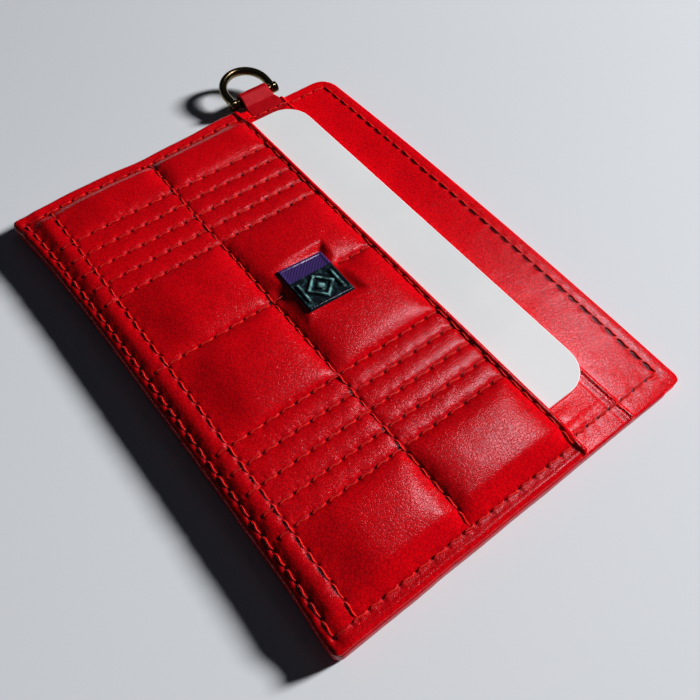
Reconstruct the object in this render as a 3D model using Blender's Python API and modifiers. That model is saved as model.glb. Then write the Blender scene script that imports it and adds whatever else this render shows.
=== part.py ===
"""Flat quilted leather card holder with a centre pocket, card slots, a blank card and a ring tab.

The holder lies on its back. The origin is under the middle of the body, on the face it rests on.
+X runs along the long side, away from the ring, +Y towards the mouth and +Z out of the front.
Lengths in this file are millimetres and are turned into metres as the shapes are made.
Most shapes are drawn from the body's lower left corner, which the empty "body_corner" marks.
"""

import math

import bmesh
import bpy
from mathutils import Matrix

MM = 0.001

# Body outline, from its lower left corner
BODY_WIDTH = 99.4
BODY_HEIGHT = 72.9
MOUTH_BOW = 0.5
BOW_STEPS = 8
CORNER_RADIUS = 1.5
RING_CORNER_RADIUS = 4.0
CORNER_SEGMENTS = 6
SEAM_INSET = 0.3
SEAM_WIDTH = 3.8

# Panel heights
POCKET_HEIGHT = 49.95
SLOT_HEIGHT = 61.0
REAR_SLOT_HEIGHT = 50.5

# Sheet thicknesses, and the gap left between stacked sheets
LEATHER = 0.5
LINING = 0.15
PADDING = 0.6
SHEET_GAP = 0.1
POCKET_GAP = 0.2
SIDE_GAP = 0.3

# Blank card
CARD_WIDTH = 85.6
CARD_HEIGHT = 54.0
CARD_THICKNESS = 0.76
CARD_RADIUS = 5.5
CARD_LEFT = 4.4
CARD_TOP = 61.1

# Stack of layers, from the rest face up
REAR_PANEL_Z = 0.0
BACK_PANEL_Z = REAR_PANEL_Z + LEATHER + SHEET_GAP
BACK_LINING_Z = BACK_PANEL_Z + LEATHER + SHEET_GAP
FRONT_LINING_Z = BACK_LINING_Z + LINING + POCKET_GAP
FRONT_PANEL_Z = FRONT_LINING_Z + LINING + SHEET_GAP
SLOT_PANEL_Z = FRONT_PANEL_Z + LEATHER + SHEET_GAP
CARD_Z = SLOT_PANEL_Z + LEATHER + POCKET_GAP
POCKET_LINING_Z = CARD_Z + CARD_THICKNESS + POCKET_GAP
PADDING_Z = POCKET_LINING_Z + LINING + SHEET_GAP
SHELL_Z = PADDING_Z + PADDING + SHEET_GAP
SHELL_TOP_Z = SHELL_Z + LEATHER
BODY_SEAM_THICKNESS = FRONT_PANEL_Z - SHEET_GAP - BACK_LINING_Z
POCKET_SEAM_Z = SLOT_PANEL_Z + LEATHER + SHEET_GAP
POCKET_SEAM_THICKNESS = SHELL_Z - SHEET_GAP - POCKET_SEAM_Z

# Stitch rows
THREAD_WIDTH = 0.4
THREAD_HEIGHT = 0.25
BORDER_LEFT = 2.5
BORDER_BOTTOM = 1.6
BORDER_RIGHT = 96.9
BODY_ROW_RIGHT = 95.9
MOUTH_ROW = 70.5
POCKET_TOP_ROW = 48.6
ROW_CORNER = 1.5
GROOVE_DEPTH = 0.35

# Quilting: two groups of five rows, a centre row between them, and two rows across
GROUP_ROWS = 5
GROUP_PITCH = 4.1
LEFT_GROUP_START = 12.8
RIGHT_GROUP_START = 64.9
CENTRE_ROW = 46.3
CROSS_ROWS = (5.7, 26.8)
QUILT_MARGIN = 1.1
CROSS_ROW_DROP = 0.05

# Hem of the pocket's top edge
HEM_WIDTH = 2.4

# Emblem
EMBLEM_CENTRE = (47.4, 35.2)
EMBLEM_SIZE = (11.0, 9.7)
EMBLEM_THICKNESS = 0.8
EMBLEM_BEVEL = 0.25
EMBLEM_CORNER = 0.4
BACKPLATE_SIZE = (9.0, 6.0)
BACKPLATE_THICKNESS = 0.35
PRONG_SPACING = 5.6
PRONG_SIZE = (0.7, 2.0)
PRONG_CLEARANCE = 0.15
MOTIF_RADIUS = (3.7, 2.7)
MOTIF_HEIGHT = 0.5
MOTIF_TOP_SCALE = 0.45

# Ring and tab
RING_CENTRE_Y = 56.2
BAR_X = -4.0
WIRE_RADIUS = 0.9
RING_HALF_WIDTH = 5.1
RING_REACH = 7.9
RING_CORNER = 1.1
RING_TILT = math.radians(9)
RING_ARC_STEPS = 28
KNUCKLE_RADIUS = 1.15
KNUCKLE_LENGTH = 1.7
TAB_GAP = 0.3
TAB_ROOT_END = 3.2
TAB_ROOT_WIDTH = 8.2
TAB_LOOP_WIDTH = 7.0
TAB_FLARE_LENGTH = 3.0
TAB_NECK_X = -1.4
TAB_ARC_STEPS = 24
FLARE_STEPS = 8

# Heights that follow from the stack
TAB_ROOT_Z = FRONT_PANEL_Z
TAB_ROOT_TOP = SLOT_PANEL_Z + LEATHER
BAR_Z = (TAB_ROOT_Z + TAB_ROOT_TOP) / 2
TAB_OUTER_RADIUS = WIRE_RADIUS + TAB_GAP + LEATHER

COLOURS = {
    "red_leather": ((0.46, 0.0, 0.012, 1.0), 0.42, 0.0),
    "red_lining": ((0.32, 0.0, 0.012, 1.0), 0.8, 0.0),
    "red_thread": ((0.22, 0.0, 0.012, 1.0), 0.6, 0.0),
    "wadding": ((0.82, 0.8, 0.76, 1.0), 0.95, 0.0),
    "white_card": ((0.8, 0.82, 0.84, 1.0), 0.35, 0.0),
    "gold_metal": ((0.78, 0.6, 0.32, 1.0), 0.18, 1.0),
    "dark_metal": ((0.03, 0.035, 0.045, 1.0), 0.15, 1.0),
}


def clear_scene():
    """Remove every object that the scene starts with."""
    for item in list(bpy.data.objects):
        bpy.data.objects.remove(item, do_unlink=True)


def make_collection(name):
    """Make a collection for the object's parts or for its cutters."""
    group = bpy.data.collections.new(name)
    bpy.context.scene.collection.children.link(group)
    return group


def make_material(name):
    """Make a Principled material from its colour, roughness and metallic value."""
    colour, roughness, metallic = COLOURS[name]
    material = bpy.data.materials.new(name)
    material.use_nodes = True
    shader = material.node_tree.nodes["Principled BSDF"]
    shader.inputs["Base Color"].default_value = colour
    shader.inputs["Roughness"].default_value = roughness
    shader.inputs["Metallic"].default_value = metallic
    return material


def scaled(*lengths):
    """Turn millimetres into metres."""
    return tuple(length * MM for length in lengths)


def rounded_polygon(corners):
    """Round a counter-clockwise outline, whose corners are given as (x, y, radius)."""
    points = []
    count = len(corners)
    for index, (x, y, radius) in enumerate(corners):
        if radius == 0:
            points.append((x, y))
            continue
        before = corners[index - 1]
        after = corners[(index + 1) % count]
        angle_in = math.atan2(y - before[1], x - before[0])
        angle_out = math.atan2(after[1] - y, after[0] - x)
        turn = (angle_out - angle_in + math.pi) % (2 * math.pi) - math.pi
        reach = radius * math.tan(abs(turn) / 2)
        side = math.copysign(1.0, turn)
        centre_x = x - reach * math.cos(angle_in) - side * radius * math.sin(angle_in)
        centre_y = y - reach * math.sin(angle_in) + side * radius * math.cos(angle_in)
        for step in range(CORNER_SEGMENTS + 1):
            angle = angle_in + turn * step / CORNER_SEGMENTS - side * math.pi / 2
            points.append((centre_x + radius * math.cos(angle), centre_y + radius * math.sin(angle)))
    return points


def rectangle(left, bottom, right, top, radius=0.0):
    """Outline of a rectangle with equal corner radii."""
    return rounded_polygon([(left, bottom, radius), (right, bottom, radius), (right, top, radius), (left, top, radius)])


def panel_corners(top, top_radius, bow=0.0, notch=False):
    """Corners of a panel as wide as the body. The top corner on the ring's side is the roundest one."""
    right_radius = min(top_radius, CORNER_RADIUS)
    corners = [(0, 0, CORNER_RADIUS), (BODY_WIDTH, 0, CORNER_RADIUS), (BODY_WIDTH, top, right_radius)]
    for step in range(1, BOW_STEPS):
        along = 1 - 2 * step / BOW_STEPS
        if bow:
            corners.append((BODY_WIDTH * (1 + along) / 2, top + bow * (1 - along ** 2), 0))
    corners.append((0, top, top_radius))
    if notch:
        half = TAB_ROOT_WIDTH / 2 + SIDE_GAP
        depth = TAB_ROOT_END + SIDE_GAP
        corners += [(0, RING_CENTRE_Y + half, 0), (depth, RING_CENTRE_Y + half, 0)]
        corners += [(depth, RING_CENTRE_Y - half, 0), (0, RING_CENTRE_Y - half, 0)]
    return corners


def flat_curve(name, outlines, thickness):
    """Draw outlines as a filled 2D curve with a thickness; an outline inside another is a hole."""
    curve = bpy.data.curves.new(name, "CURVE")
    curve.dimensions = "2D"
    curve.fill_mode = "BOTH"
    curve.extrude = thickness * MM / 2
    for outline in outlines:
        spline = curve.splines.new("POLY")
        spline.points.add(len(outline) - 1)
        for point, (x, y) in zip(spline.points, outline):
            point.co = (x * MM, y * MM, 0, 1)
        spline.use_cyclic_u = True
    return curve


def mesh_from_curve(curve):
    """Turn a curve into one welded mesh."""
    holder = bpy.data.objects.new(curve.name + "_curve", curve)
    bpy.context.scene.collection.objects.link(holder)
    graph = bpy.context.evaluated_depsgraph_get()
    mesh = bpy.data.meshes.new_from_object(holder.evaluated_get(graph))
    bpy.data.objects.remove(holder, do_unlink=True)
    shape = bmesh.new()
    shape.from_mesh(mesh)
    bmesh.ops.remove_doubles(shape, verts=shape.verts, dist=0.00001)
    shape.to_mesh(mesh)
    shape.free()
    mesh.name = curve.name
    return mesh


def place(name, mesh, material, group, parent, location):
    """Add a mesh to the model as a named part, at a place measured from its parent in millimetres."""
    part = bpy.data.objects.new(name, mesh)
    part.location = scaled(*location)
    part.parent = parent
    group.objects.link(part)
    if material:
        mesh.materials.clear()
        mesh.materials.append(material)
    return part


class Builder:
    """Keeps the collections, materials and reference empties that every part needs."""

    def __init__(self):
        self.parts = make_collection("card_holder")
        self.cutters = make_collection("cutters")
        self.materials = {name: make_material(name) for name in COLOURS}
        self.corner = self.empty("body_corner", (-BODY_WIDTH / 2, -BODY_HEIGHT / 2, 0))
        self.bar = self.empty("ring_bar_axis", (BAR_X, RING_CENTRE_Y, BAR_Z), self.corner)

    def empty(self, name, location, parent=None):
        """Mark a reference point."""
        marker = bpy.data.objects.new(name, None)
        marker.location = scaled(*location)
        marker.parent = parent
        self.parts.objects.link(marker)
        return marker

    def plate(self, name, outlines, low, thickness, material):
        """Make a flat piece whose lower face is at the height low."""
        mesh = mesh_from_curve(flat_curve(name, outlines, thickness))
        place_at = (0, 0, low + thickness / 2)
        return place(name, mesh, self.materials[material], self.parts, self.corner, place_at)

    def cutter(self, name, mesh, parent, location):
        """Make a hidden guide shape that cuts or trims a part."""
        guide = place(name, mesh, None, self.cutters, parent, location)
        guide.hide_render = True
        guide.display_type = "WIRE"
        return guide

    def flat_cutter(self, name, outlines, low, thickness):
        """Make a flat hidden guide shape, measured from the body's corner."""
        mesh = mesh_from_curve(flat_curve(name, outlines, thickness))
        return self.cutter(name, mesh, self.corner, (0, 0, low + thickness / 2))


def boolean(part, guide, operation="DIFFERENCE"):
    """Cut, trim or join a part with a guide shape."""
    modifier = part.modifiers.new(guide.name, "BOOLEAN")
    modifier.operation = operation
    modifier.solver = "EXACT"
    modifier.object = guide


def bevel(part, width, segments=2):
    """Round a part's sharp edges."""
    modifier = part.modifiers.new("rounded_edges", "BEVEL")
    modifier.width = width * MM
    modifier.segments = segments
    modifier.limit_method = "ANGLE"


def make_rear_slot(build):
    """Slot panel on the back, with its border row of stitches sunk in a groove."""
    outline = rounded_polygon(panel_corners(REAR_SLOT_HEIGHT, 1.0))
    panel = build.plate("rear_slot_panel", [outline], REAR_PANEL_Z, LEATHER, "red_leather")
    top_row = REAR_SLOT_HEIGHT - BORDER_LEFT
    row = (BORDER_LEFT, BORDER_BOTTOM, BORDER_RIGHT, top_row)
    groove = stitch_ring(row, THREAD_WIDTH + 2 * SHEET_GAP)
    boolean(panel, build.flat_cutter("rear_groove", groove, -GROOVE_DEPTH, 2 * GROOVE_DEPTH))
    thread = stitch_ring(row, THREAD_WIDTH)
    build.plate("rear_slot_thread", thread, GROOVE_DEPTH - SHEET_GAP / 2 - THREAD_HEIGHT, THREAD_HEIGHT, "red_thread")


def stitch_ring(row, width):
    """Outlines of a closed row of stitches along the rectangle (left, bottom, right, top)."""
    left, bottom, right, top = row
    half = width / 2
    outer = rectangle(left - half, bottom - half, right + half, top + half, ROW_CORNER + half)
    inner = rectangle(left + half, bottom + half, right - half, top - half, ROW_CORNER - half)
    return [outer, inner]


def make_body(build):
    """Back and front panels, their linings and the strips that close the centre pocket."""
    back = rounded_polygon(panel_corners(BODY_HEIGHT, RING_CORNER_RADIUS, MOUTH_BOW))
    build.plate("back_panel", [back], BACK_PANEL_Z, LEATHER, "red_leather")
    front = rounded_polygon(panel_corners(BODY_HEIGHT, RING_CORNER_RADIUS, MOUTH_BOW, notch=True))
    build.plate("front_panel", [front], FRONT_PANEL_Z, LEATHER, "red_leather")
    lining_inset = SEAM_INSET + SEAM_WIDTH + SIDE_GAP
    lining_top = BODY_HEIGHT - SEAM_INSET
    lining = rectangle(lining_inset, lining_inset, BODY_WIDTH - lining_inset, lining_top)
    build.plate("back_lining", [lining], BACK_LINING_Z, LINING, "red_lining")
    build.plate("front_lining", [lining], FRONT_LINING_Z, LINING, "red_lining")
    top = BODY_HEIGHT - RING_CORNER_RADIUS
    make_seam_strips(build, "body", BACK_LINING_Z, BODY_SEAM_THICKNESS, top)


def make_seam_strips(build, owner, low, thickness, top):
    """Three filler strips along the left, bottom and right edges."""
    inner = SEAM_INSET + SEAM_WIDTH
    far = BODY_WIDTH - SEAM_INSET
    side_bottom = inner + SIDE_GAP
    strips = {
        "left": rectangle(SEAM_INSET, side_bottom, inner, top),
        "right": rectangle(far - SEAM_WIDTH, side_bottom, far, top),
        "bottom": rounded_polygon([(SEAM_INSET, SEAM_INSET, CORNER_RADIUS), (far, SEAM_INSET, CORNER_RADIUS),
                                   (far, inner, 0), (SEAM_INSET, inner, 0)]),
    }
    for side, outline in strips.items():
        build.plate(f"{owner}_seam_{side}", [outline], low, thickness, "red_leather")


def make_slot_panel(build):
    """Slot panel that the card lies on, notched round the root of the tab."""
    outline = rounded_polygon(panel_corners(SLOT_HEIGHT, 0, notch=True))
    build.plate("slot_panel", [outline], SLOT_PANEL_Z, LEATHER, "red_leather")


def make_card(build):
    """Blank card, standing out of the front pocket."""
    bottom = CARD_TOP - CARD_HEIGHT
    outline = rectangle(CARD_LEFT, bottom, CARD_LEFT + CARD_WIDTH, CARD_TOP, CARD_RADIUS)
    card = build.plate("blank_card", [outline], CARD_Z, CARD_THICKNESS, "white_card")
    bevel(card, 0.12)


def make_pocket(build):
    """Front pocket: seam strips, lining, wadding, hem and the outer leather."""
    make_seam_strips(build, "pocket", POCKET_SEAM_Z, POCKET_SEAM_THICKNESS, POCKET_HEIGHT - SEAM_INSET)
    inset = SEAM_INSET + SEAM_WIDTH + SIDE_GAP
    far = BODY_WIDTH - inset
    hem_bottom = POCKET_HEIGHT - SEAM_INSET - HEM_WIDTH
    hem_top = POCKET_HEIGHT - SEAM_INSET
    lining = rectangle(inset, inset, far, hem_top)
    build.plate("pocket_lining", [lining], POCKET_LINING_Z, LINING, "red_lining")
    hem = rectangle(inset, hem_bottom, far, hem_top)
    build.plate("pocket_hem", [hem], PADDING_Z, PADDING, "red_leather")
    window = centred_rectangle(BACKPLATE_SIZE, SIDE_GAP)
    padding = rectangle(inset, inset, far, hem_bottom - SIDE_GAP)
    build.plate("pocket_padding", [padding, window], PADDING_Z, PADDING, "wadding")
    slits = prong_outlines(PRONG_CLEARANCE)
    outline = rounded_polygon(panel_corners(POCKET_HEIGHT, 0))
    build.plate("pocket_shell", [outline] + slits, SHELL_Z, LEATHER, "red_leather")


def centred_rectangle(size, margin=0.0, offset=0.0):
    """Outline of a rectangle round the emblem's centre, moved sideways by offset."""
    centre_x = EMBLEM_CENTRE[0] + offset
    centre_y = EMBLEM_CENTRE[1]
    half_x = size[0] / 2 + margin
    half_y = size[1] / 2 + margin
    return rectangle(centre_x - half_x, centre_y - half_y, centre_x + half_x, centre_y + half_y)


def prong_outlines(margin=0.0):
    """Outlines of the emblem's two prongs, or of the slits they go through."""
    return [centred_rectangle(PRONG_SIZE, margin, side * PRONG_SPACING / 2) for side in (-1, 1)]


def make_emblem(build):
    """Plate with two prongs, its raised motif, and the washer behind the outer leather."""
    plate_low = SHELL_TOP_Z + SHEET_GAP
    half_x, half_y = EMBLEM_SIZE[0] / 2, EMBLEM_SIZE[1] / 2
    centre_x, centre_y = EMBLEM_CENTRE
    outline = rectangle(centre_x - half_x, centre_y - half_y, centre_x + half_x, centre_y + half_y, EMBLEM_CORNER)
    plate = build.plate("emblem_plate", [outline], plate_low, EMBLEM_THICKNESS, "dark_metal")
    bevel(plate, EMBLEM_BEVEL)
    prong_height = plate_low + EMBLEM_THICKNESS / 2 - PADDING_Z
    prongs = build.flat_cutter("emblem_prongs", prong_outlines(), PADDING_Z, prong_height)
    boolean(plate, prongs, "UNION")
    slits = prong_outlines(PRONG_CLEARANCE)
    washer = [centred_rectangle(BACKPLATE_SIZE)] + slits
    build.plate("emblem_backplate", washer, PADDING_Z, BACKPLATE_THICKNESS, "dark_metal")
    make_motif(build, plate_low + EMBLEM_THICKNESS + SHEET_GAP)


def make_motif(build, low):
    """Raised lozenge in the middle of the plate, as a low four-sided pyramid with its tip cut off."""
    shape = bmesh.new()
    bmesh.ops.create_cone(shape, cap_ends=True, segments=4, radius1=MM, radius2=MOTIF_TOP_SCALE * MM,
                          depth=MOTIF_HEIGHT * MM)
    bmesh.ops.scale(shape, verts=shape.verts, vec=(MOTIF_RADIUS[0], MOTIF_RADIUS[1], 1.0))
    mesh = bpy.data.meshes.new("emblem_motif")
    shape.to_mesh(mesh)
    shape.free()
    location = (EMBLEM_CENTRE[0], EMBLEM_CENTRE[1], low + MOTIF_HEIGHT / 2)
    motif = place("emblem_motif", mesh, build.materials["dark_metal"], build.parts, build.corner, location)
    bevel(motif, 0.1)


def quilt_rows():
    """Distances of the quilting rows from the body's left edge."""
    rows = [CENTRE_ROW]
    for start in (LEFT_GROUP_START, RIGHT_GROUP_START):
        rows += [start + GROUP_PITCH * index for index in range(GROUP_ROWS)]
    return rows


def make_quilting_thread(build):
    """Quilting rows, which stop short of the border row and part round the emblem."""
    bottom = BORDER_BOTTOM + QUILT_MARGIN
    top = POCKET_TOP_ROW - QUILT_MARGIN
    left = BORDER_LEFT + QUILT_MARGIN
    right = BORDER_RIGHT - QUILT_MARGIN
    half = THREAD_WIDTH / 2
    low = SHELL_TOP_Z + SHEET_GAP
    first, second = [rectangle(left, y - half, right, y + half) for y in CROSS_ROWS]
    cross_height = THREAD_HEIGHT - 2 * CROSS_ROW_DROP
    thread = build.plate("quilting_thread", [first], low + CROSS_ROW_DROP, cross_height, "red_thread")
    boolean(thread, build.flat_cutter("upper_cross_row", [second], low + CROSS_ROW_DROP, cross_height), "UNION")
    emblem_bottom = EMBLEM_CENTRE[1] - EMBLEM_SIZE[1] / 2 - SIDE_GAP
    for index, x in enumerate(sorted(quilt_rows())):
        row_top = emblem_bottom if x == CENTRE_ROW else top
        row = rectangle(x - half, bottom, x + half, row_top)
        boolean(thread, build.flat_cutter(f"quilt_row_{index}", [row], low, THREAD_HEIGHT), "UNION")


def thread_path(points, width):
    """Outline of a row of stitches along an open path of right-angled corners, on its left and right sides."""
    half = width / 2
    left_side = []
    right_side = []
    for index, (x, y) in enumerate(points):
        before = points[max(index - 1, 0)]
        after = points[min(index + 1, len(points) - 1)]
        ways = [(x - before[0], y - before[1]), (after[0] - x, after[1] - y)]
        normals = {(-dy / math.hypot(dx, dy), dx / math.hypot(dx, dy)) for dx, dy in ways if dx or dy}
        shift_x = half * sum(normal[0] for normal in normals)
        shift_y = half * sum(normal[1] for normal in normals)
        left_side.append((x + shift_x, y + shift_y))
        right_side.append((x - shift_x, y - shift_y))
    return left_side + right_side[::-1]


def make_border_threads(build):
    """Border rows on the pocket, the slot panel, the body's mouth and the tab's root."""
    pocket_row = stitch_ring((BORDER_LEFT, BORDER_BOTTOM, BORDER_RIGHT, POCKET_TOP_ROW), THREAD_WIDTH)
    build.plate("pocket_border_thread", pocket_row, SHELL_TOP_Z + SHEET_GAP, THREAD_HEIGHT, "red_thread")
    slot_low = SLOT_PANEL_Z + LEATHER + SHEET_GAP
    row_low = POCKET_HEIGHT + SIDE_GAP
    row_high = SLOT_HEIGHT - SIDE_GAP
    for name, x in (("tab_thread", BORDER_LEFT), ("slot_thread", BODY_ROW_RIGHT)):
        row = rectangle(x - THREAD_WIDTH / 2, row_low, x + THREAD_WIDTH / 2, row_high)
        build.plate(name, [row], slot_low, THREAD_HEIGHT, "red_thread")
    start = SLOT_HEIGHT + SIDE_GAP
    path = [(BORDER_LEFT, start), (BORDER_LEFT, MOUTH_ROW), (BODY_ROW_RIGHT, MOUTH_ROW), (BODY_ROW_RIGHT, start)]
    mouth_low = FRONT_PANEL_Z + LEATHER + SHEET_GAP
    build.plate("mouth_thread", [thread_path(path, THREAD_WIDTH)], mouth_low, THREAD_HEIGHT, "red_thread")


def tab_profile():
    """Side view of the tab, drawn round the bar's axis: the loop, the neck and the sewn root."""
    half_root = (TAB_ROOT_TOP - TAB_ROOT_Z) / 2
    root_end = TAB_ROOT_END - BAR_X
    neck = TAB_NECK_X - BAR_X
    reach = math.sqrt(neck ** 2 + half_root ** 2)
    leave = math.atan2(half_root, neck) + math.acos(TAB_OUTER_RADIUS / reach)
    points = [(root_end, -half_root), (root_end, half_root), (neck, half_root)]
    for step in range(TAB_ARC_STEPS + 1):
        angle = leave + (2 * math.pi - 2 * leave) * step / TAB_ARC_STEPS
        points.append((TAB_OUTER_RADIUS * math.cos(angle), TAB_OUTER_RADIUS * math.sin(angle)))
    points.append((neck, -half_root))
    return points


def circle(radius, steps):
    """Points of a circle round the origin."""
    angles = [2 * math.pi * step / steps for step in range(steps)]
    return [(radius * math.cos(angle), radius * math.sin(angle)) for angle in angles]


def tab_plan():
    """Top view of the tab, drawn round the bar's axis: its sides flare towards the root."""
    loop_half = TAB_LOOP_WIDTH / 2
    flare = (TAB_ROOT_WIDTH - TAB_LOOP_WIDTH) / 2
    edge = -BAR_X
    side = [(-TAB_OUTER_RADIUS - 1, loop_half)]
    for step in range(FLARE_STEPS + 1):
        along = step / FLARE_STEPS
        side.append((edge - TAB_FLARE_LENGTH * (1 - along), loop_half + flare * along ** 2))
    side.append((TAB_ROOT_END - BAR_X + 1, TAB_ROOT_WIDTH / 2))
    return [(x, -y) for x, y in side] + side[::-1]


def make_tab(build):
    """Leather strip folded round the bar, with both ends sewn into the body's left side."""
    inner = circle(WIRE_RADIUS + TAB_GAP, TAB_ARC_STEPS)
    mesh = mesh_from_curve(flat_curve("ring_tab", [tab_profile(), inner], TAB_ROOT_WIDTH + 1))
    tab = place("ring_tab", mesh, build.materials["red_leather"], build.parts, build.bar, (0, 0, 0))
    tab.rotation_euler = (math.pi / 2, 0, 0)
    plan = mesh_from_curve(flat_curve("tab_plan", [tab_plan()], 4 * TAB_OUTER_RADIUS))
    boolean(tab, build.cutter("tab_plan", plan, build.bar, (0, 0, 0)), "INTERSECT")


def ring_path():
    """Centre line of the ring's wire, drawn round the middle of its bar."""
    bend = -(RING_REACH - RING_HALF_WIDTH)
    corners = [(0, -RING_HALF_WIDTH, RING_CORNER), (0, RING_HALF_WIDTH, RING_CORNER)]
    arch = []
    for step in range(RING_ARC_STEPS + 1):
        angle = math.pi / 2 + math.pi * step / RING_ARC_STEPS
        arch.append((bend + RING_HALF_WIDTH * math.cos(angle), RING_HALF_WIDTH * math.sin(angle), 0))
    return rounded_polygon(corners + arch)


def make_ring(build):
    """D-shaped ring of round wire, with a thicker knuckle at each end of its bar."""
    curve = bpy.data.curves.new("d_ring", "CURVE")
    curve.dimensions = "3D"
    curve.bevel_depth = WIRE_RADIUS * MM
    curve.bevel_resolution = 6
    path = ring_path()
    spline = curve.splines.new("POLY")
    spline.points.add(len(path) - 1)
    for point, (x, y) in zip(spline.points, path):
        point.co = (x * MM, y * MM, 0, 1)
    spline.use_cyclic_u = True
    mesh = mesh_from_curve(curve)
    mesh.transform(Matrix.Rotation(RING_TILT, 4, "Y"))
    ring = place("d_ring", mesh, build.materials["gold_metal"], build.parts, build.bar, (0, 0, 0))
    for side in (-1, 1):
        shape = bmesh.new()
        bmesh.ops.create_cone(shape, cap_ends=True, segments=24, radius1=KNUCKLE_RADIUS * MM,
                              radius2=KNUCKLE_RADIUS * MM, depth=KNUCKLE_LENGTH * MM)
        mesh = bpy.data.meshes.new("knuckle")
        shape.to_mesh(mesh)
        shape.free()
        along = side * (RING_HALF_WIDTH + WIRE_RADIUS - KNUCKLE_LENGTH / 2)
        knuckle = build.cutter(f"knuckle_{side}", mesh, build.bar, (0, along, 0))
        knuckle.rotation_euler = (math.pi / 2, 0, 0)
        boolean(ring, knuckle, "UNION")


def smooth_round_parts(group):
    """Shade curved faces smooth and keep real edges sharp."""
    for part in group.objects:
        if part.type == "MESH":
            part.data.shade_smooth()
            part.data.set_sharp_from_angle(angle=math.radians(35))


def main():
    """Build the whole holder."""
    clear_scene()
    build = Builder()
    make_rear_slot(build)
    make_body(build)
    make_slot_panel(build)
    make_card(build)
    make_pocket(build)
    make_emblem(build)
    make_quilting_thread(build)
    make_border_threads(build)
    make_tab(build)
    make_ring(build)
    smooth_round_parts(build.parts)
    bpy.context.view_layer.update()


main()
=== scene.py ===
"""Looks of the quilted leather card holder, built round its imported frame.

Places are worked out from the frame's nodes and kept in millimetres from the body's lower left
corner: u along the long side away from the ring, v towards the mouth and z out of the front.
"""

import math

import bmesh
import bpy
import numpy as np
from mathutils import Matrix, Vector


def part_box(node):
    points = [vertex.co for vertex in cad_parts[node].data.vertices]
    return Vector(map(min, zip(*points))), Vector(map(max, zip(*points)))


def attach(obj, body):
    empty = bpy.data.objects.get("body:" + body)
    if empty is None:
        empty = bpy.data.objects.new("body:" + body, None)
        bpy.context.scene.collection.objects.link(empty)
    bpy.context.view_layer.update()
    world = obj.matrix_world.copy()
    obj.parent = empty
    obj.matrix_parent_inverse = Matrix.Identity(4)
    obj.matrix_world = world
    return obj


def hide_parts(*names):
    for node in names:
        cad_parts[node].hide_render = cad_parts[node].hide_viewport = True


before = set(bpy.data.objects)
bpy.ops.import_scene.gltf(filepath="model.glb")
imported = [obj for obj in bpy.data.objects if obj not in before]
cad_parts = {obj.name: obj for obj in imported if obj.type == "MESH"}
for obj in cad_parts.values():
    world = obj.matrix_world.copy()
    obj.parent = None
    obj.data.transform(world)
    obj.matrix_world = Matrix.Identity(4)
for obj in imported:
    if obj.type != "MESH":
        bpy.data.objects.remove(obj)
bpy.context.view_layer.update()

MM = 0.001
BODY_ORIGIN = np.array([*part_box("back_panel")[0][:2], 0.0])
SEWN_SIDES = ("left", "right", "bottom")


def place_of(node):
    """Lowest and highest corner of a CAD node, in millimetres from the body's corner."""
    low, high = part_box(node)
    return (np.array(low) - BODY_ORIGIN) / MM, (np.array(high) - BODY_ORIGIN) / MM


# Outlines, from the frame
MOUTH_BOW = 0.5
CORNER_RADIUS = 1.5
RING_CORNER_RADIUS = 4.0
WIDTH = place_of("back_panel")[1][0]
HEIGHT = place_of("back_panel")[1][1] - MOUTH_BOW
POCKET_TOP = place_of("pocket_shell")[1][1]
SLOT_TOP = place_of("slot_panel")[1][1]
REAR_SLOT_TOP = place_of("rear_slot_panel")[1][1]
CARD_LOW, CARD_HIGH = place_of("blank_card")
EMBLEM_LOW, EMBLEM_HIGH = place_of("emblem_plate")
RING_LOW, RING_HIGH = place_of("d_ring")
TAB_LOW, TAB_HIGH = place_of("ring_tab")
EDGE_INSET = 0.12
LINE_CROWDING = 1.7
UNEVENNESS = 0.07
BOTTOM_BEND = (-2, 7)
EMBLEM_CENTRE = (EMBLEM_LOW + EMBLEM_HIGH) / 2
EMBLEM_HALF = (EMBLEM_HIGH - EMBLEM_LOW) / 2

# Stitch rows
THREAD_HALF = 0.2
STITCH_PITCH = 2.95
PIT_SLANT = math.radians(-28)
PIT_SIZE = (0.2, 0.36)
SCALLOP = 0.07
GROUP_ROWS = 5
GROUP_PITCH = 4.1
GROUP_STARTS = (12.8, 64.9)
CROSS_ROWS = (5.7, 26.8)
CENTRE_ROW = 46.3
POCKET_ROWS = place_of("pocket_border_thread")
BORDER_LEFT, BORDER_BOTTOM = POCKET_ROWS[0][:2] + THREAD_HALF
BORDER_RIGHT, BORDER_TOP = POCKET_ROWS[1][:2] - THREAD_HALF
BODY_ROW_RIGHT, MOUTH_ROW = place_of("mouth_thread")[1][:2] - THREAD_HALF
REAR_ROWS = place_of("rear_slot_thread")

# Heights
PANEL_TOP = place_of("front_panel")[1][2]
SLOT_PANEL_TOP = place_of("slot_panel")[1][2]
POCKET_LOW = place_of("pocket_seam_left")[0][2]
CEILING = CARD_HIGH[2] + 0.09
MARGIN_Z = POCKET_LOW + 0.72
VALLEY_RISE = 0.85
BOTTOM_SQUASH = 0.08
SQUASH_REACH = (1.0, 3.7)
CARD_PLAY = 2.8
POCKET_WALL = 3.4
CEILING_INSET = 4.1
MOUTH_LIFT = 0.55
PANEL_TUCK = 0.2
REAR_GROOVE = 0.3

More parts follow.
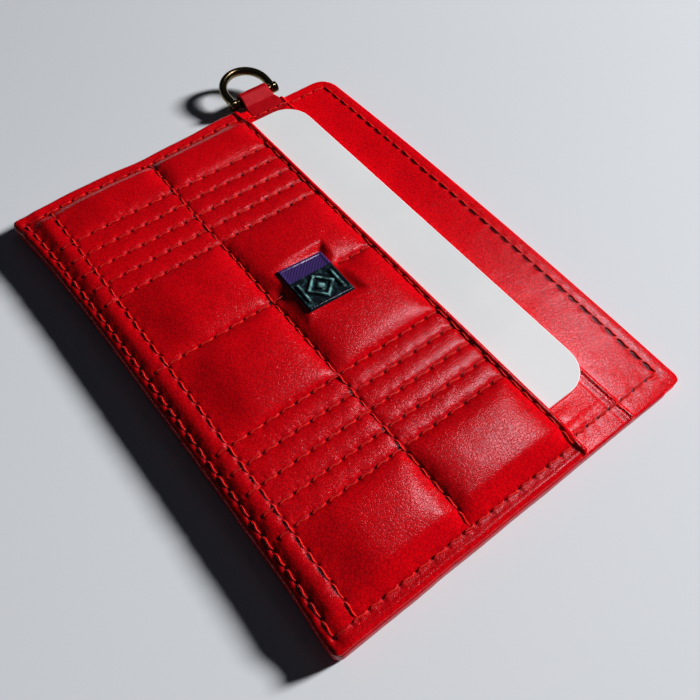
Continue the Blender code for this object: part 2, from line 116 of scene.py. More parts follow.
# Quilting
CLOTH_CELL = 0.5
MARGIN_LINES = 10
HEM_LINES = 9
SIM_SCALE = 0.1
SIM_FRAMES = 20
SIM_CLOTH = {"quality": 6, "mass": 0.1, "air_damping": 2, "tension_stiffness": 8, "compression_stiffness": 8,
             "shear_stiffness": 3, "bending_stiffness": 0.3, "shrink_min": -0.02, "shrink_max": -0.02,
             "use_pressure": True, "uniform_pressure_force": 4.0}
IRONING = 4
PUFF_LIMIT = 1.35
STRIP_FLATNESS = 0.3
ROLL_REACH = 1.3
ROLL_DROP = 0.9
CREASE_DEPTH = 0.1
HEM_BULGE = 0.3
MARGIN_BULGE = 0.16
# Share of painted shade on the pocket's walls and its ceiling over the card.
UNDERSIDE_PAINTED_SHADE = 0.4
SEAT_Z = 5.3
EMBLEM_FALL = (math.tan(math.radians(2)), math.tan(math.radians(-3.5)))

rng = np.random.default_rng(11)
NOISE_SIZE = 64
NOISE = rng.random((NOISE_SIZE, NOISE_SIZE))


def noise(x, y, size):
    """Smooth random height from -1 to 1, in lumps about size millimetres across."""
    x, y = np.broadcast_arrays(x / size, y / size)
    i, j = np.floor(x).astype(int), np.floor(y).astype(int)
    fx, fy = x - i, y - j
    fx, fy = fx * fx * (3 - 2 * fx), fy * fy * (3 - 2 * fy)

    def corner(di, dj):
        return NOISE[(i + di) % NOISE_SIZE, (j + dj) % NOISE_SIZE]

    low = corner(0, 0) * (1 - fx) + corner(1, 0) * fx
    high = corner(0, 1) * (1 - fx) + corner(1, 1) * fx
    return 2 * (low * (1 - fy) + high * fy) - 1


def smooth(start, end, x):
    """Rise from 0 at start to 1 at end, without a corner."""
    t = np.clip((x - start) / (end - start), 0, 1)
    return t * t * (3 - 2 * t)


def hill(x, width):
    """A bell curve of height 1."""
    return np.exp(-((x / width) ** 2))


def round_over(distance, reach, drop):
    """How far a rounded edge lies below the flat, by the distance from the outline."""
    t = 1 - np.clip(distance / reach, 0, 1)
    return -drop * (1 - np.sqrt(np.clip(1 - t * t, 0, 1)))


def plateau(rise, fall, x):
    """Rise from 0 to 1 over one stretch of x, and fall back to 0 over another."""
    return smooth(*rise, x) * (1 - smooth(*fall, x))


def unit(vectors):
    """The same directions, at a length of 1."""
    return vectors / np.linalg.norm(vectors, axis=-1, keepdims=True)


def joined(*parts):
    """Points from their coordinates."""
    return np.stack(np.broadcast_arrays(*parts), -1)


def crossings(us, vs):
    """The flat places where a grid's lines cross."""
    return np.meshgrid(us, vs, indexing="ij")


# ---- stitch rows


class Row:
    """A straight row of stitch holes. Along 0 runs with u at a fixed v, along 1 with v at a fixed u."""

    def __init__(self, along, across, holes):
        self.along = along
        self.across = across
        self.holes = np.array(sorted(holes))

    def local(self, u, v):
        """Distance across the row, distance to the nearest hole, and how far past the row's ends."""
        s, d = (u, v - self.across) if self.along == 0 else (v, u - self.across)
        middles = (self.holes[1:] + self.holes[:-1]) / 2
        nearest = self.holes[np.searchsorted(middles, s)]
        past = np.maximum(0, np.maximum(self.holes[0] - s, s - self.holes[-1]))
        return d, s - nearest, past

    def point(self, s):
        """The flat place at s along the row."""
        return (s, self.across) if self.along == 0 else (self.across, s)


def even_row(along, across, start, end):
    """A row with evenly spaced holes."""
    count = max(1, round(abs(end - start) / STITCH_PITCH))
    return Row(along, across, np.linspace(start, end, count + 1))


def rows_round(make_row, low, high):
    """The rows along the four sides of a rectangle."""
    rows = [make_row(0, v, low[0], high[0]) for v in (low[1], high[1])]
    return rows + [make_row(1, u, low[1], high[1]) for u in (low[0], high[0])]


def row_distance(rows, u, v):
    """Distance to the nearest row."""
    best = np.full(np.broadcast(u, v).shape, 99.0)
    for row in rows:
        d, _, past = row.local(u, v)
        best = np.minimum(best, np.hypot(d, past))
    return best


def pit_shape(d, s, past):
    """A hole pulled into a short slanting slit, from 0 to 1."""
    slant_s = s * math.cos(PIT_SLANT) + d * math.sin(PIT_SLANT)
    slant_d = d * math.cos(PIT_SLANT) - s * math.sin(PIT_SLANT)
    return np.exp(-((slant_s / PIT_SIZE[0]) ** 2 + (slant_d / PIT_SIZE[1]) ** 2 + (past / 0.5) ** 2))


def stitch_relief(rows, u, v, pit, groove, pucker, streak=0.0):
    """Height that the stitches press into leather: pits at the holes, a groove and puckers."""
    total = np.zeros(np.broadcast(u, v).shape)
    for row in rows:
        d, s, past = row.local(u, v)
        inside = hill(past, 0.5)
        total -= inside * groove * hill(d, 0.35)
        total -= pit * pit_shape(d, s, past)
        along, across = (u, v) if row.along == 0 else (v, u)
        wave = np.cos(2 * np.pi * s / STITCH_PITCH + 0.5 * noise(along, across, 5.0))
        total += inside * streak * noise(along, across / 6 + 20, 0.3) * hill(d + 0.6, 0.45)
        total += inside * SCALLOP * np.sin(2 * np.pi * s / STITCH_PITCH) * d / 0.5 * hill(d, 0.6)
        near = np.exp(-abs(d) / 0.45) * (1 - hill(d, 0.3))
        total -= inside * pucker * (0.6 + wave) * near
        total += inside * pucker * 0.9 * noise(along, across / 5 + 9, 0.4) * np.exp(-abs(d) / 0.6)
    return total


def seam_painted_shade(rows, u, v):
    """How much painted shade the leather's colour gets from the seams, from 0 to 1: along each stitch groove
    and in the pits at the holes.
    """
    shade = np.zeros(np.broadcast(u, v).shape)
    for row in rows:
        d, s, past = row.local(u, v)
        line = 0.55 * hill(d, 0.4) * hill(past, 0.4)
        hole = pit_shape(d * 0.8, s * 0.8, past)
        shade = np.maximum(shade, np.maximum(line, hole))
    return shade


# ---- meshes


def squashed(points):
    """Press the layers together towards the sewn bottom edge."""
    points = np.array(points, float).reshape(-1, 3)
    points[:, 2] *= 1 - BOTTOM_SQUASH * (1 - smooth(*SQUASH_REACH, points[:, 1]))
    return points


def to_world(points):
    """Places in millimetres from the body's corner, in metres in the row frame."""
    return squashed(points) * MM + BODY_ORIGIN


def make_piece(name, points, faces, material, body="holder", replaces=(), slot="red_leather", shade=None):
    """Make a mesh piece from places in millimetres, and let it ride on its body."""
    mesh = bpy.data.meshes.new(name)
    mesh.from_pydata(to_world(points).tolist(), [], [tuple(map(int, face)) for face in faces])
    mesh.materials.append(material)
    mesh.shade_smooth()
    if shade is not None:
        # The shade values become the mesh's seam attribute, which the materials turn into painted shade on
        # leather and painted glints on the emblem.
        attribute = mesh.attributes.new("seam", "FLOAT", "POINT")
        attribute.data.foreach_set("value", np.asarray(shade, np.float32).ravel())
    tidy = bmesh.new()
    tidy.from_mesh(mesh)
    loose = [vertex for vertex in tidy.verts if not vertex.link_faces]
    bmesh.ops.delete(tidy, geom=loose, context="VERTS")
    bmesh.ops.recalc_face_normals(tidy, faces=tidy.faces)
    tidy.to_mesh(mesh)
    tidy.free()
    piece = bpy.data.objects.new(name, mesh)
    bpy.context.scene.collection.objects.link(piece)
    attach(piece, body)
    if replaces:
        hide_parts(*replaces)
    return piece


def grid_faces(count_u, count_v, keep=None, start=0):
    """Quads of a grid of points, all of them or those that the mask keeps."""
    index = np.arange(count_u * count_v).reshape(count_u, count_v) + start
    quads = np.stack([index[:-1, :-1], index[1:, :-1], index[1:, 1:], index[:-1, 1:]], -1)
    return quads.reshape(-1, 4) if keep is None else quads[keep]


def rim_faces(count_u, count_v, keep, offset):
    """Quads that join two grids along the outline of what the mask keeps."""
    index = np.arange(count_u * count_v).reshape(count_u, count_v)
    padded = np.pad(keep, 1)
    faces = []
    for di, dj, outline in ((0, 1, padded[1:, 1:-1] != padded[:-1, 1:-1]),
                            (1, 0, padded[1:-1, 1:] != padded[1:-1, :-1])):
        for i, j in np.argwhere(outline):
            a, b = index[i, j], index[i + di, j + dj]
            faces.append((a, b, b + offset, a + offset))
    return faces


def tube_faces(count, sides, start=0, closed=False):
    """Faces over rings of points, with capped ends or closed on itself."""
    index = np.arange(count * sides).reshape(count, sides) + start
    if closed:
        index = np.concatenate([index, index[:1]])
    after = np.roll(index, -1, axis=1)
    quads = np.stack([index[:-1], after[:-1], after[1:], index[1:]], -1).reshape(-1, 4)
    return [*quads] if closed else [*quads, index[0][::-1], index[-1]]


def shell(top, bottom, keep=None):
    """Points and faces of a closed sheet between two grids of points."""
    count_u, count_v = top.shape[:2]
    if keep is None:
        keep = np.ones((count_u - 1, count_v - 1), bool)
    offset = count_u * count_v
    faces = [*grid_faces(count_u, count_v, keep), *grid_faces(count_u, count_v, keep, offset)]
    faces += rim_faces(count_u, count_v, keep, offset)
    return np.concatenate([top.reshape(-1, 3), bottom.reshape(-1, 3)]), faces


def graded(stops, cell):
    """Lines through every stop, about a cell apart between them."""
    lines = [stops[0]]
    for start, end in zip(stops, stops[1:]):
        count = max(1, round((end - start) / cell))
        lines += list(np.linspace(start, end, count + 1)[1:])
    return np.array(lines)


def bordered(inner, length, counts, last_inset=EDGE_INSET):
    """Add lines between a length's ends and its inner lines, closest together at the ends."""
    first = EDGE_INSET + (inner[0] - EDGE_INSET) * np.linspace(0, 1, counts[0] + 1)[:-1] ** LINE_CROWDING
    reach = length - inner[-1] - last_inset
    last = length - last_inset - reach * np.linspace(0, 1, counts[1] + 1)[:-1] ** LINE_CROWDING
    return np.concatenate([first, inner, last[::-1]])


def rounded_corner(x, y, radius):
    """Bend a square corner's grid to a round one. x and y are distances from the two edges."""
    px = np.clip((radius - x) / radius, 0, 1)
    py = np.clip((radius - y) / radius, 0, 1)
    move_x = radius * px * (1 - np.sqrt(1 - py ** 2 / 2))
    move_y = radius * py * (1 - np.sqrt(1 - px ** 2 / 2))
    return move_x, move_y


def bottom_shift(u, v, tuck=0.0):
    """How far places near the bottom edge are moved: the edge is flared at its corners, pulled in between."""
    edge = 0.6 - 2.3 * np.exp(-((np.maximum(u, 0) / 17) ** 1.2)) - 0.5 * smooth(WIDTH - 13, WIDTH - 2, u)
    return (edge + tuck) * (1 - smooth(*BOTTOM_BEND, v))


def tuck_left(v):
    """How the left side bulges and dips along the pocket."""
    bulge = plateau((3, 12), (POCKET_TOP - 1, POCKET_TOP + 5), v)
    return -0.45 * bulge + 0.5 * hill(v - 26, 5) - 0.6 * hill(v - 46, 5)


def outline_place(u, v, top, top_radius, bow=0.0, tuck=0.0):
    """Where a flat place of a panel lies, with its round corners, its bow and small unevenness."""
    x = u.copy()
    y = v.copy()
    for right in (False, True):
        upper_radius = min(top_radius, CORNER_RADIUS) if right else top_radius
        for upper, radius in ((False, CORNER_RADIUS), (True, upper_radius)):
            from_side = WIDTH - u if right else u
            from_end = top - v if upper else v
            move_x, move_y = rounded_corner(from_side, from_end, radius)
            x += -move_x if right else move_x
            y += -move_y if upper else move_y
    across = 2 * u / WIDTH - 1
    y += bow * (1 - across ** 2) * smooth(top - 12, top, v)
    y += bottom_shift(u, v, tuck)
    x += tuck_left(v) * (1 - smooth(0, 7, u))
    near_edge = 1 - smooth(0, 5, np.minimum(np.minimum(u, WIDTH - u), v))
    x += UNEVENNESS * near_edge * noise(u, v, 7.0)
    y += UNEVENNESS * near_edge * noise(u, v + 40, 7.0)
    return x, y


class Surface:
    """A grid of points over flat places, which gives the point over any flat place."""

    def __init__(self, us, vs, points):
        self.us = us
        self.vs = vs
        self.points = points

    def at(self, u, v):
        """The point over a flat place."""
        i = np.clip(np.searchsorted(self.us, u) - 1, 0, len(self.us) - 2)
        j = np.clip(np.searchsorted(self.vs, v) - 1, 0, len(self.vs) - 2)
        fu = ((u - self.us[i]) / (self.us[i + 1] - self.us[i]))[..., None]
        fv = ((v - self.vs[j]) / (self.vs[j + 1] - self.vs[j]))[..., None]
        low = self.points[i, j] * (1 - fu) + self.points[i + 1, j] * fu
        high = self.points[i, j + 1] * (1 - fu) + self.points[i + 1, j + 1] * fu
        return low * (1 - fv) + high * fv

    def normal(self, u, v, reach=0.8):
        """The upward normal there, over a patch wide enough to pass over the pits."""
        across = self.at(u + reach, v) - self.at(u - reach, v)
        along = self.at(u, v + reach) - self.at(u, v - reach)
        return unit(np.cross(across, along))


# ---- materials


class Look:
    """A material in the making: one Principled shader, and the place in millimetres to texture by."""

    def __init__(self, name, **sockets):
        self.material = bpy.data.materials.new(name)
        self.material.use_nodes = True
        self.tree = self.material.node_tree
        self.shader = self.tree.nodes["Principled BSDF"]
        for key, value in sockets.items():
            self.feed(self.shader, key.replace("_", " ").title().replace("Ior", "IOR"), value)
        self.place = self.vector("MULTIPLY", self.add("TexCoord", "Object"), (1 / MM,) * 3)

    def feed(self, node, key, value):
        """Link a node's input, or set it to a constant."""
        if isinstance(value, bpy.types.NodeSocket):
            self.tree.links.new(value, node.inputs[key])
        else:
            node.inputs[key].default_value = value

    def add(self, kind, output, inputs=None, **settings):
        """Add a shader node and give one of its outputs."""
        node = self.tree.nodes.new("ShaderNode" + kind)
        for key, value in settings.items():
            setattr(node, key, value)
        for key, value in (inputs or {}).items():
            self.feed(node, key, value)
        return node.outputs[output]

    def math(self, operation, a, b=0.0, clamp=False):
        """The result of a sum on two values."""
        return self.add("Math", 0, {0: a, 1: b}, operation=operation, use_clamp=clamp)

    def plus(self, base, value, weight, clamp=False):
        """A value with a share of another added."""
        return self.math("ADD", base, self.math("MULTIPLY", value, weight), clamp)

    def wave(self, value, turns):
        """A sine wave along a value."""
        return self.math("SINE", self.math("MULTIPLY", value, turns))

    def vector(self, operation, a, b, output="Vector"):
        """The result of a sum on two vectors."""
        return self.add("VectorMath", output, {0: a, 1: b}, operation=operation)

    def noise(self, scale, detail=2.0, place=None, output="Fac", **inputs):
        """Noise with scale lumps to the millimetre."""
        place = self.place if place is None else place
        return self.add("TexNoise", output, {"Vector": place, "Scale": scale, "Detail": detail, **inputs})

    def attribute(self):
        """The value that the mesh keeps at each point, which places painted shade on leather and painted
        glints on the emblem.
        """
        return self.add("Attribute", "Fac", attribute_name="seam", attribute_type="GEOMETRY")

    def axis(self, number):
        """One coordinate of the place."""
        return self.add("SeparateXYZ", number, {0: self.place})

    def ranged(self, value, low, high, to_low=0.0, to_high=1.0):
        """Turn one range of a value into another, smoothly."""
        inputs = {"Value": value, "From Min": low, "From Max": high, "To Min": to_low, "To Max": to_high}
        return self.add("MapRange", "Result", inputs, interpolation_type="SMOOTHSTEP")

    def mixed(self, factor, a, b):
        """Mix two colours."""
        return self.add("Mix", 2, {0: factor, 6: a, 7: b}, data_type="RGBA")

    def finished(self, colour, height=None, depth=0.0, strength=1.0, roughness=None):
        """Give the shader its colour, bumps and roughness, and return the material."""
        self.feed(self.shader, "Base Color", colour)
        if roughness is not None:
            self.feed(self.shader, "Roughness", roughness)
        if height is not None:
            inputs = {"Height": height, "Distance": depth * MM, "Strength": strength}
            self.feed(self.shader, "Normal", self.add("Bump", "Normal", inputs))
        return self.material


def rgb(red, green, blue):
    """A colour from its linear parts."""
    return (red, green, blue, 1.0)


PEBBLE_STRETCH = (1.25, 0.85, 1.0)
BLEED = (1.0, 0.12, 0.1)


def leather_material(name, colour, roughness, grain, pebble):
    """Grained leather: pebbles and fine creases, with painted shade in the grain's creases and in the seams,
    which are also duller.
    """
    look = Look(name, specular_ior_level=0.5, subsurface_weight=0.2, subsurface_radius=BLEED,
                subsurface_scale=0.4 * MM)
    bent = look.vector("ADD", look.place, look.noise(1.6, 1.0, output="Color"))
    bent = look.vector("MULTIPLY", bent, PEBBLE_STRETCH)
    pebbles = {"Vector": bent, "Scale": pebble}
    crease = look.ranged(look.add("TexVoronoi", "Distance", pebbles, feature="DISTANCE_TO_EDGE"), 0.0, 0.2)
    dome = look.add("TexVoronoi", "Distance", pebbles, feature="F1")
    fine = look.noise(5.5, 4.0, Roughness=0.6)
    wrinkle = look.noise(0.8, 5.0, bent, Distortion=0.7)
    line = look.ranged(look.math("ABSOLUTE", look.math("SUBTRACT", wrinkle, 0.5)), 0.0, 0.035)
    height = crease
    for part, share in ((dome, -0.9), (fine, 0.35), (line, 0.12)):
        height = look.plus(height, part, share)
    patches = look.ranged(look.noise(0.11, 3.0), 0.35, 0.65)
    base = look.mixed(patches, colour, look.mixed(0.08, colour, DARK_RED))
    # Painted shade: the grain's creases are darkened towards the dark red.
    base = look.mixed(look.ranged(crease, 0.0, 1.0, 0.42, 0.0), base, DARK_RED)
    # Painted shade: the seams, marked by the mesh's seam attribute, are darkened towards the dark red and made
    # duller.
    seam = look.attribute()
    base = look.mixed(look.math("MULTIPLY", seam, 0.5), base, DARK_RED)
    rough = look.plus(look.plus(roughness - 0.05, fine, 0.1), seam, 0.3, clamp=True)
    return look.finished(base, height, grain, roughness=rough)


def thread_material(name, colour, dark):
    """Polished thread, with its fibres and darker stretches."""
    look = Look(name, roughness=0.34, subsurface_weight=0.7, subsurface_radius=BLEED,
                subsurface_scale=0.5 * MM)
    fibres = look.noise(14.0, 3.0)
    base = look.mixed(look.ranged(fibres, 0.35, 0.7), dark, colour)
    base = look.mixed(look.ranged(look.noise(0.4), 0.4, 0.7, 0.0, 0.4), base, dark)
    return look.finished(base, fibres, 0.02)


def cloth_material(name, colour, dark):
    """Fine woven lining."""
    look = Look(name, roughness=0.75, sheen_weight=0.3, sheen_roughness=0.5)
    weave = look.math("MULTIPLY", look.wave(look.axis(0), 18.0), look.wave(look.axis(1), 18.0))
    return look.finished(look.mixed(look.ranged(weave, -1.0, 1.0), dark, colour), weave, 0.03)


def paint_material(name, colour, dark):
    """Smooth painted edge with faint unevenness."""
    look = Look(name, specular_ior_level=0.3)
    lumps = look.noise(0.7, 4.0)
    return look.finished(look.mixed(look.ranged(lumps, 0.35, 0.7), dark, colour), lumps, 0.08, 0.7,
                         look.ranged(lumps, 0.3, 0.7, 0.34, 0.5))


def metal_material(name, colour, dark):
    """Polished metal with faint smears and scratches."""
    look = Look(name, metallic=1.0)
    smears = look.noise(0.6, 5.0)
    base = look.mixed(look.ranged(smears, 0.35, 0.7), colour, dark)
    return look.finished(base, look.noise(3.0, 6.0), 0.006,
                         roughness=look.ranged(smears, 0.3, 0.75, 0.12, 0.26))


def card_material(name):
    """Satin white plastic with a very fine surface."""
    look = Look(name, specular_ior_level=0.45)
    clouds = look.ranged(look.noise(0.05, 3.0), 0.35, 0.65)
    grains = look.noise(9.0, 2.0)
    return look.finished(look.mixed(clouds, rgb(0.74, 0.76, 0.785), rgb(0.7, 0.725, 0.755)), grains, 0.004,
                         roughness=look.ranged(grains, 0.3, 0.7, 0.36, 0.46))


def floor_material(name):
    """Plain pale matt board, with painted shade that darkens it towards one side."""
    look = Look(name, roughness=0.6, specular_ior_level=0.3)
    board = look.mixed(look.noise(0.01, 2.0), rgb(0.665, 0.7, 0.755), rgb(0.695, 0.73, 0.78))
    # Painted shade: the board darkens towards one side.
    slope = look.vector("DOT_PRODUCT", look.place, (0.8, -0.6, 0.0), "Value")
    return look.finished(look.mixed(look.ranged(slope, -110.0, 60.0, 0.22, 0.0), board, rgb(0.35, 0.37, 0.4)))


RED = rgb(0.63, 0.0006, 0.004)
# Painted light and shade: the flat panels get a brighter copy of the leather's red, the tab a darker copy.
PANEL_RED_PAINTED_LIGHT = rgb(0.81, 0.0006, 0.005)
TAB_RED_PAINTED_SHADE = rgb(0.46, 0.0004, 0.004)
# The darker tone of random patches, and the colour of painted shade in creases, seams and pits.
DARK_RED = rgb(0.13, 0.0, 0.003)
LEATHER = leather_material("leather", RED, roughness=0.24, grain=0.008, pebble=1.6)
SMOOTH_LEATHER = leather_material("panel_leather", PANEL_RED_PAINTED_LIGHT, roughness=0.22, grain=0.005, pebble=1.6)
TAB_LEATHER = leather_material("tab_leather", TAB_RED_PAINTED_SHADE, roughness=0.5, grain=0.006, pebble=1.8)
EDGE_PAINT = paint_material("edge_paint", rgb(0.5, 0.0, 0.01), rgb(0.34, 0.0, 0.006))
THREAD = thread_material("thread", rgb(0.85, 0.03, 0.02), rgb(0.45, 0.003, 0.006))
LINING = cloth_material("lining", rgb(0.34, 0.0, 0.008), rgb(0.16, 0.0, 0.004))
GOLD = metal_material("gold", rgb(0.34, 0.27, 0.13), rgb(0.2, 0.155, 0.07))
DARK_METAL = metal_material("dark_metal", rgb(0.045, 0.055, 0.07), rgb(0.02, 0.02, 0.035))
CARD_WHITE = card_material("card_white")


# ---- stitches


STITCH_STEPS = 24
STITCH_SIDES = 10
STITCH_RADIUS = 0.175
STITCH_LIFT = 0.14
STITCH_SINK = 0.16
STITCH_SLANT = 0.2
STITCH_WAVE = 0.16
PLY_COUNT = 3
PLY_DEPTH = 0.24
PLY_TURNS = 2.4
END_GAP = 0.03
STITCH_WOBBLE = 0.04


def stitch_tubes(starts, ends, normals):
    """Points and faces of twisted stitches, each from one hole to the next."""
    t = np.linspace(0, 1, STITCH_STEPS)
    angle = np.linspace(0, 2 * np.pi, STITCH_SIDES, endpoint=False)
    way = ends - starts
    tangent = unit(way)
    side = unit(np.cross(normals, tangent))
    up = np.cross(tangent, side)
    lift = (STITCH_LIFT + STITCH_SINK) * (1 - abs(2 * t - 1) ** 4) - STITCH_SINK
    along = END_GAP + (1 - 2 * END_GAP) * t
    centre = starts[:, None] + way[:, None] * along[:, None] + up[:, None] * lift[:, None]
    centre += side[:, None] * (STITCH_WAVE * np.sin(2 * np.pi * t))[:, None]
    twist = PLY_COUNT * (angle[None, :] - 2 * np.pi * PLY_TURNS * t[:, None])
    thin = 1 - 0.45 * abs(2 * t - 1) ** 6
    radius = STITCH_RADIUS * thin[:, None] * (1 - PLY_DEPTH + PLY_DEPTH * abs(np.cos(twist / 2)) * 1.6)
    ring = (side[:, None, None] * (radius * np.cos(angle))[None, ..., None]
            + up[:, None, None] * (0.85 * radius * np.sin(angle))[None, ..., None])
    points = (centre[:, :, None] + ring).reshape(-1, 3)
    faces = []
    for first in range(0, len(points), STITCH_STEPS * STITCH_SIDES):
        faces += tube_faces(STITCH_STEPS, STITCH_SIDES, first)
    return points, faces


def stitches_on(surface, rows, below=False):
    """Start, end and normal of each stitch of some rows on a surface."""
    starts, ends, normals = [], [], []
    for row in rows:
        slant = np.array([0.0, STITCH_SLANT] if row.along == 0 else [-STITCH_SLANT, 0.0])
        for first, second in zip(row.holes, row.holes[1:]):
            a, b = np.array(row.point(first)), np.array(row.point(second))
            wobble = rng.normal(0, STITCH_WOBBLE, 4)
            starts.append(surface.at(*(a + wobble[:2] - slant)))
            ends.append(surface.at(*(b + wobble[2:] + slant)))
            normals.append(surface.normal(*((a + b) / 2)) * (-1 if below else 1))
    return np.array(starts), np.array(ends), np.array(normals)


def make_stitches(name, surface, rows, replaces, below=False):
    """A piece with every stitch of some rows."""
    points, faces = stitch_tubes(*stitches_on(surface, rows, below))
    return make_piece(name, points, faces, THREAD, replaces=replaces, slot="red_thread")


# ---- quilted pocket


COLUMN_START = BORDER_BOTTOM + 1.35
GROUPS = [start + GROUP_PITCH * k for start in GROUP_STARTS for k in range(GROUP_ROWS)]
COLUMNS = sorted([CENTRE_ROW, *GROUPS])
INNER_US = graded([BORDER_LEFT, *COLUMNS, BORDER_RIGHT], CLOTH_CELL)
INNER_VS = graded([BORDER_BOTTOM, *CROSS_ROWS, BORDER_TOP], CLOTH_CELL)


def grid_row(along, across, start, end):
    """A row whose holes lie on lines of the inner grid."""
    lines = (INNER_US, INNER_VS)[along]
    row = even_row(along, across, start, end)
    return Row(along, across, {lines[np.argmin(abs(lines - s))] for s in row.holes})


def quilting_rows():
    """Every row inside the border, parted round the emblem."""
    rows = [grid_row(0, v, BORDER_LEFT, BORDER_RIGHT) for v in CROSS_ROWS]
    for u in COLUMNS:
        whole = [(COLUMN_START, BORDER_TOP)]
        parted = [(COLUMN_START, EMBLEM_LOW[1] - 1), (EMBLEM_HIGH[1] + 1, BORDER_TOP)]
        rows += [grid_row(1, u, *part) for part in (parted if u == CENTRE_ROW else whole)]
    return rows


QUILTING = quilting_rows()
BORDER = rows_round(grid_row, (BORDER_LEFT, BORDER_BOTTOM), (BORDER_RIGHT, BORDER_TOP))


def pinned_points():
    """Which grid points of the sheet the stitches hold."""
    held = np.zeros((len(INNER_US), len(INNER_VS)), bool)
    held[[0, -1], :] = held[:, [0, -1]] = True
    for row in QUILTING:
        lines, other, grid = (INNER_VS, INNER_US, held) if row.along else (INNER_US, INNER_VS, held.T)
        sewn = (lines >= row.holes[0]) & (lines <= row.holes[-1])
        grid[np.argmin(abs(other - row.across)), sewn] = True
    return held


def puffed_by_simulation(u, v):
    """Blow the sheet up between its stitches with Cloth, and give its points in millimetres."""
    flat = joined(u, v, rng.uniform(0, 0.02, u.shape))
    mesh = bpy.data.meshes.new("quilt_cloth")
    mesh.from_pydata((flat.reshape(-1, 3) * SIM_SCALE).tolist(), [], grid_faces(*u.shape).tolist())
    cloth = bpy.data.objects.new("quilt_cloth", mesh)
    scene = bpy.context.scene
    scene.collection.objects.link(cloth)
    group = cloth.vertex_groups.new(name="held")
    group.add([int(k) for k in np.flatnonzero(pinned_points())], 1.0, "REPLACE")
    modifier = cloth.modifiers.new("Cloth", "CLOTH")
    settings = modifier.settings
    for key, value in SIM_CLOTH.items():
        setattr(settings, key, value)
    settings.vertex_group_mass = group.name
    settings.effector_weights.gravity = 0
    modifier.collision_settings.use_collision = False
    modifier.point_cache.frame_start = 1
    modifier.point_cache.frame_end = SIM_FRAMES
    for number in range(1, SIM_FRAMES + 1):
        scene.frame_set(number)
    result = cloth.evaluated_get(bpy.context.evaluated_depsgraph_get())
    moved = np.zeros(u.size * 3)
    result.data.vertices.foreach_get("co", moved)
    bpy.data.objects.remove(cloth, do_unlink=True)
    scene.frame_set(1)
    return moved.reshape(*u.shape, 3) / SIM_SCALE


def ironed(values):
    """Take the finest wrinkles out along the columns."""
    for _ in range(IRONING):
        ends = np.concatenate([values[:, :1], values, values[:, -1:]], axis=1)
        values = (ends[:, :-2] + 2 * values + ends[:, 2:]) / 4
    return values


def refined(values):
    """Double a grid's lines both ways, through a smooth curve."""
    for _ in range(2):
        ends = np.concatenate([values[:1] * 2 - values[1:2], values, values[-1:] * 2 - values[-2:-1]])
        middle = (9 * (ends[1:-2] + ends[2:-1]) - ends[:-3] - ends[3:]) / 16
        longer = np.empty((2 * len(values) - 1, *values.shape[1:]))
        longer[::2] = values
        longer[1::2] = middle
        values = np.swapaxes(longer, 0, 1)
    return values


def valley_height(u, v):
    """Height of the stitched valleys: low at the sewn border and higher over the card."""
    rise = plateau((BORDER_LEFT, BORDER_LEFT + 3), (BORDER_RIGHT - 4, BORDER_RIGHT), u)
    rise = rise * (0.6 + 0.4 * smooth(BORDER_BOTTOM, BORDER_BOTTOM + 3, v))
    return MARGIN_Z + VALLEY_RISE * rise


def puff_height(u, v, raised):
    """Turn the simulated height into the final one: capped, held down along rows and under the emblem."""
    height = PUFF_LIMIT * (1 - np.exp(-np.maximum(raised, 0) / PUFF_LIMIT))
    for start in GROUP_STARTS:
        end = start + GROUP_PITCH * (GROUP_ROWS - 1)
        strips = plateau((start - 0.5, start + 0.5), (end - 0.5, end + 0.5), u)
        height = height * (1 - STRIP_FLATNESS * strips)
    for rows in (QUILTING, BORDER):
        height = height * (1 - 0.5 * hill(row_distance(rows, u, v), 0.3))
    height = height * (0.22 + 0.78 * smooth(CROSS_ROWS[0] - 1, CROSS_ROWS[0] + 9, v))
    outside = np.maximum(abs(u - EMBLEM_CENTRE[0]) - EMBLEM_HALF[0],
                         abs(v - EMBLEM_CENTRE[1]) - EMBLEM_HALF[1])
    fall = [slope * np.clip(place - middle, -reach, reach)
            for slope, place, middle, reach in zip(EMBLEM_FALL, (u, v), EMBLEM_CENTRE, EMBLEM_HALF)]
    seat = SEAT_Z + sum(fall) - valley_height(u, v)
    pressed = 1 - smooth(-0.6, 1.8, outside)
    return height * (1 - pressed) + seat * pressed


